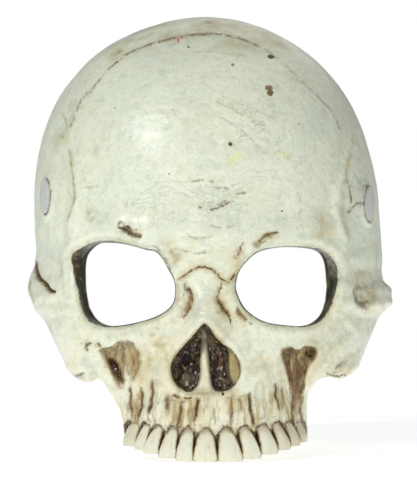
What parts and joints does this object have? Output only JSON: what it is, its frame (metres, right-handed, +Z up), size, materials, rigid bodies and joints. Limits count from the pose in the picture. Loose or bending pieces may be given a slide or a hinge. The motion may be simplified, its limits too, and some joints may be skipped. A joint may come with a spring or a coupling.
{
  "type": "skull half mask",
  "caption": "Moulded latex skull half mask with open eyes, upper teeth and no lower jaw, worn on an elastic head strap that snaps inside the temples.",
  "frame": {"origin": "centre of the opening that the head leaves by, in the plane of the crown's rear edge, at the middle of the shell's height", "axes": "+Z up as worn, -Y the way the face looks, +X to the right of someone facing the mask"},
  "size_m": [0.1798, 0.193, 0.2169],
  "materials": {
    "latex_skin": "semi-gloss painted latex, off-white with brown stain in the hollows",
    "cap_plastic": "matte pale grey",
    "plated_steel": "nickel plated",
    "elastic_webbing": "ribbed black woven elastic",
    "slider_plastic": "black moulded plastic",
    "thread": "dark polyester thread"
  },
  "bodies": {
    "shell": {"mask_shell": "latex_skin", "left_stud_cap": "cap_plastic", "right_stud_cap": "cap_plastic", "left_backing_washer": "plated_steel", "right_backing_washer": "plated_steel", "left_stud": "plated_steel", "right_stud": "plated_steel"},
    "strap": {"left_socket": "plated_steel", "right_socket": "plated_steel", "left_socket_eyelet": "plated_steel", "right_socket_eyelet": "plated_steel", "strap_band": "elastic_webbing", "strap_return_run": "elastic_webbing", "strap_return_slack": "elastic_webbing", "right_end_tab": "elastic_webbing", "strap_ring": "plated_steel", "tab_stitching": "thread"},
    "slider": {"strap_slider": "slider_plastic", "strap_sewn_end": "elastic_webbing", "sewn_end_stitching": "thread"}
  },
  "joints": [
    {"name": "strap_swing", "type": "hinge", "parent": "shell", "child": "strap", "pos_m": [0.00014, -0.03378, 0.01975], "axis": [0.9997, -0.0001, -0.0238], "range_deg": [-22, 22]},
    {"name": "slider_slide", "type": "slide", "parent": "strap", "child": "slider", "axis": [0.9997, -0.0001, -0.0238], "range_m": [0, 0.02], "deforming": ["strap_return_slack"]}
  ]
}
